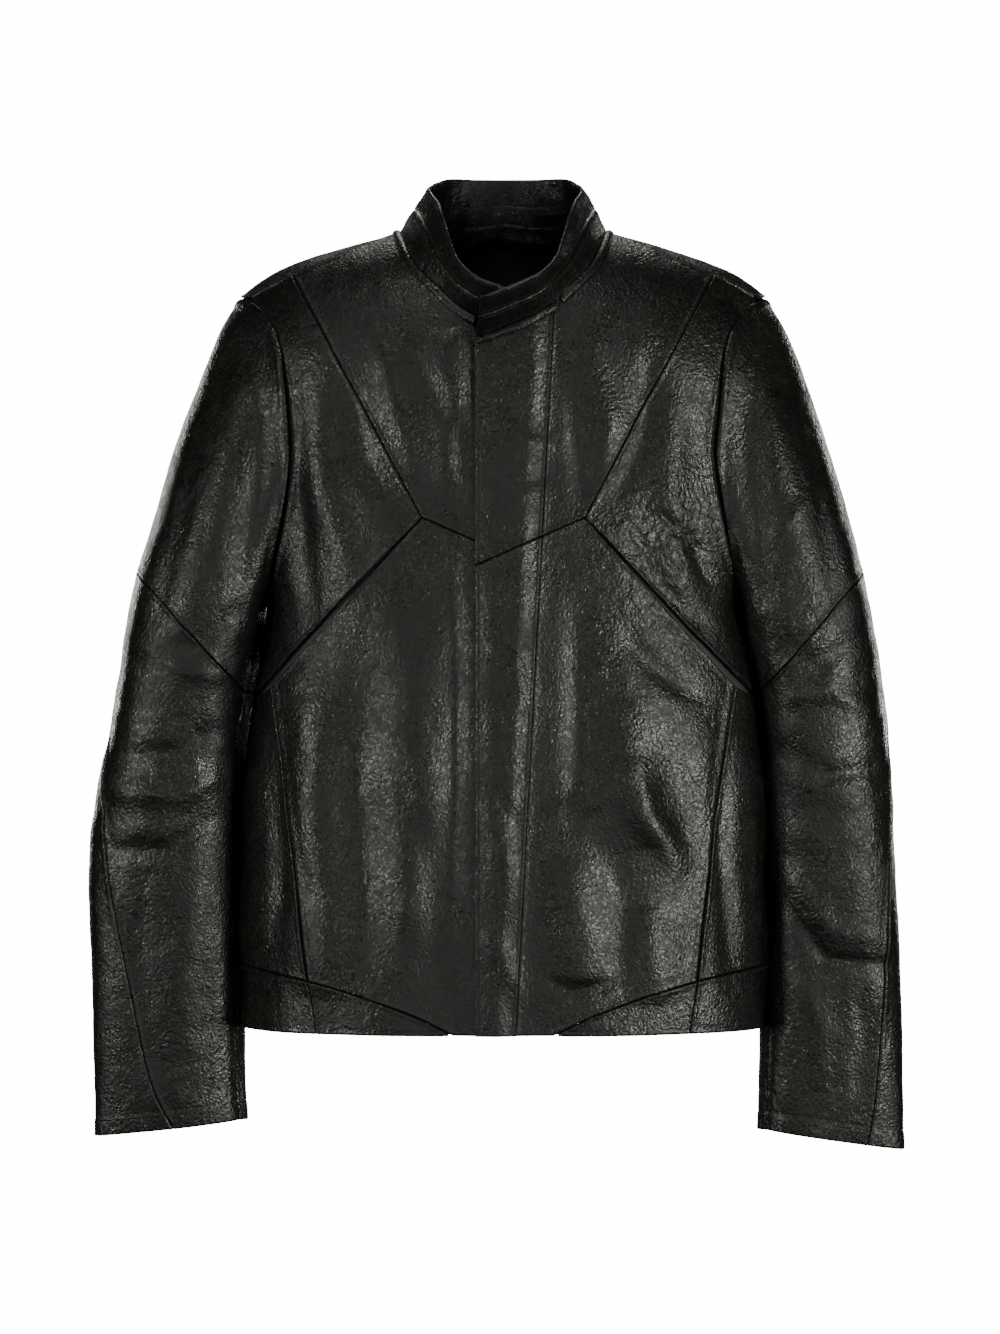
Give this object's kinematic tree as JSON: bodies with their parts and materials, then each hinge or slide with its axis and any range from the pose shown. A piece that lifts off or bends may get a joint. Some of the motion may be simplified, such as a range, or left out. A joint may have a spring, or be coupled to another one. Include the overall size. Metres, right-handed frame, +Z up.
{
  "type": "leather welding jacket",
  "caption": "Waist-length leather work jacket with stand collar, covered front zip, long sleeves and side pockets; protects the torso and arms from sparks and heat.",
  "frame": {"origin": "centre back neck point, where the collar joins the back, from which the jacket hangs and is measured", "axes": "+Z up from hem to neck, -Y towards the front opening, +X towards the wearer's left"},
  "size_m": [0.6602, 0.2293, 0.7877],
  "materials": {
    "shell_leather": "semi-gloss waxed, mottled",
    "facing_leather": "satin",
    "lining_cloth": "satin weave",
    "zip_tape": "matt",
    "zip_metal": "dark antique",
    "label_cloth": "satin weave, blank"
  },
  "bodies": {
    "torso": {"front_yoke_left": "shell_leather", "front_yoke_right": "shell_leather", "front_chest_left": "shell_leather", "front_chest_right": "shell_leather", "front_lower_left": "shell_leather", "front_lower_right": "shell_leather", "front_side_left": "shell_leather", "front_side_right": "shell_leather", "hem_front_left": "shell_leather", "hem_front_right": "shell_leather", "hem_side_left": "shell_leather", "hem_side_right": "shell_leather", "back_left": "shell_leather", "back_right": "shell_leather", "pocket_welt_left": "facing_leather", "pocket_welt_right": "facing_leather", "front_facing_left": "facing_leather", "front_facing_right": "facing_leather", "hem_facing_left": "facing_leather", "hem_facing_right": "facing_leather", "pocket_bag_left": "lining_cloth", "pocket_bag_right": "lining_cloth", "lining_front_left": "lining_cloth", "lining_front_right": "lining_cloth", "sleeve_upper_front_left": "shell_leather", "sleeve_upper_front_right": "shell_leather", "sleeve_upper_back_left": "shell_leather", "sleeve_upper_back_right": "shell_leather", "sleeve_elbow_front_left": "shell_leather", "sleeve_elbow_front_right": "shell_leather", "sleeve_elbow_back_left": "shell_leather", "sleeve_elbow_back_right": "shell_leather", "sleeve_lining_upper_left": "lining_cloth", "sleeve_lining_upper_right": "lining_cloth", "sleeve_lining_elbow_left": "lining_cloth", "sleeve_lining_elbow_right": "lining_cloth", "zip_teeth_left": "zip_metal", "zip_teeth_right": "zip_metal", "zip_tape_left": "zip_tape", "zip_tape_right": "zip_tape", "back_yoke": "shell_leather", "back_neck_facing": "facing_leather", "lining_back": "lining_cloth", "collar_stand": "shell_leather", "collar_top_band": "shell_leather", "neck_binding": "shell_leather", "zip_box": "zip_metal", "neck_label": "label_cloth"},
    "fly_flap": {"fly_upper": "shell_leather", "fly_lower": "shell_leather"},
    "zip_slider": {"zip_slider": "zip_metal"},
    "zip_pull": {"zip_pull": "zip_metal"},
    "forearm_left": {"sleeve_forearm_front_left": "shell_leather", "sleeve_forearm_back_left": "shell_leather", "sleeve_lining_forearm_left": "lining_cloth"},
    "forearm_right": {"sleeve_forearm_front_right": "shell_leather", "sleeve_forearm_back_right": "shell_leather", "sleeve_lining_forearm_right": "lining_cloth"}
  },
  "joints": [
    {"name": "fly_flap", "type": "hinge", "parent": "torso", "child": "fly_flap", "pos_m": [0.011, -0.14849, -0.646], "axis": [0.0526, 0, 0.9986], "range_deg": [0, 140]},
    {"name": "zip_slider", "type": "slide", "parent": "torso", "child": "zip_slider", "axis": [0, 0, 1], "range_m": [-0.5, 0]},
    {"name": "zip_pull", "type": "hinge", "parent": "zip_slider", "child": "zip_pull", "pos_m": [-0.005, -0.14749, -0.10375], "axis": [0, 1, 0], "range_deg": [-25, 25]},
    {"name": "elbow_left", "type": "hinge", "parent": "torso", "child": "forearm_left", "pos_m": [0.268, -0.05469, -0.43], "axis": [-1, 0, 0], "range_deg": [0, 90], "deforming": ["sleeve_elbow_front_left", "sleeve_elbow_back_left", "sleeve_lining_elbow_left"]},
    {"name": "elbow_right", "type": "hinge", "parent": "torso", "child": "forearm_right", "pos_m": [-0.268, -0.05469, -0.43], "axis": [-1, 0, 0], "range_deg": [0, 90], "deforming": ["sleeve_elbow_front_right", "sleeve_elbow_back_right", "sleeve_lining_elbow_right"]}
  ]
}
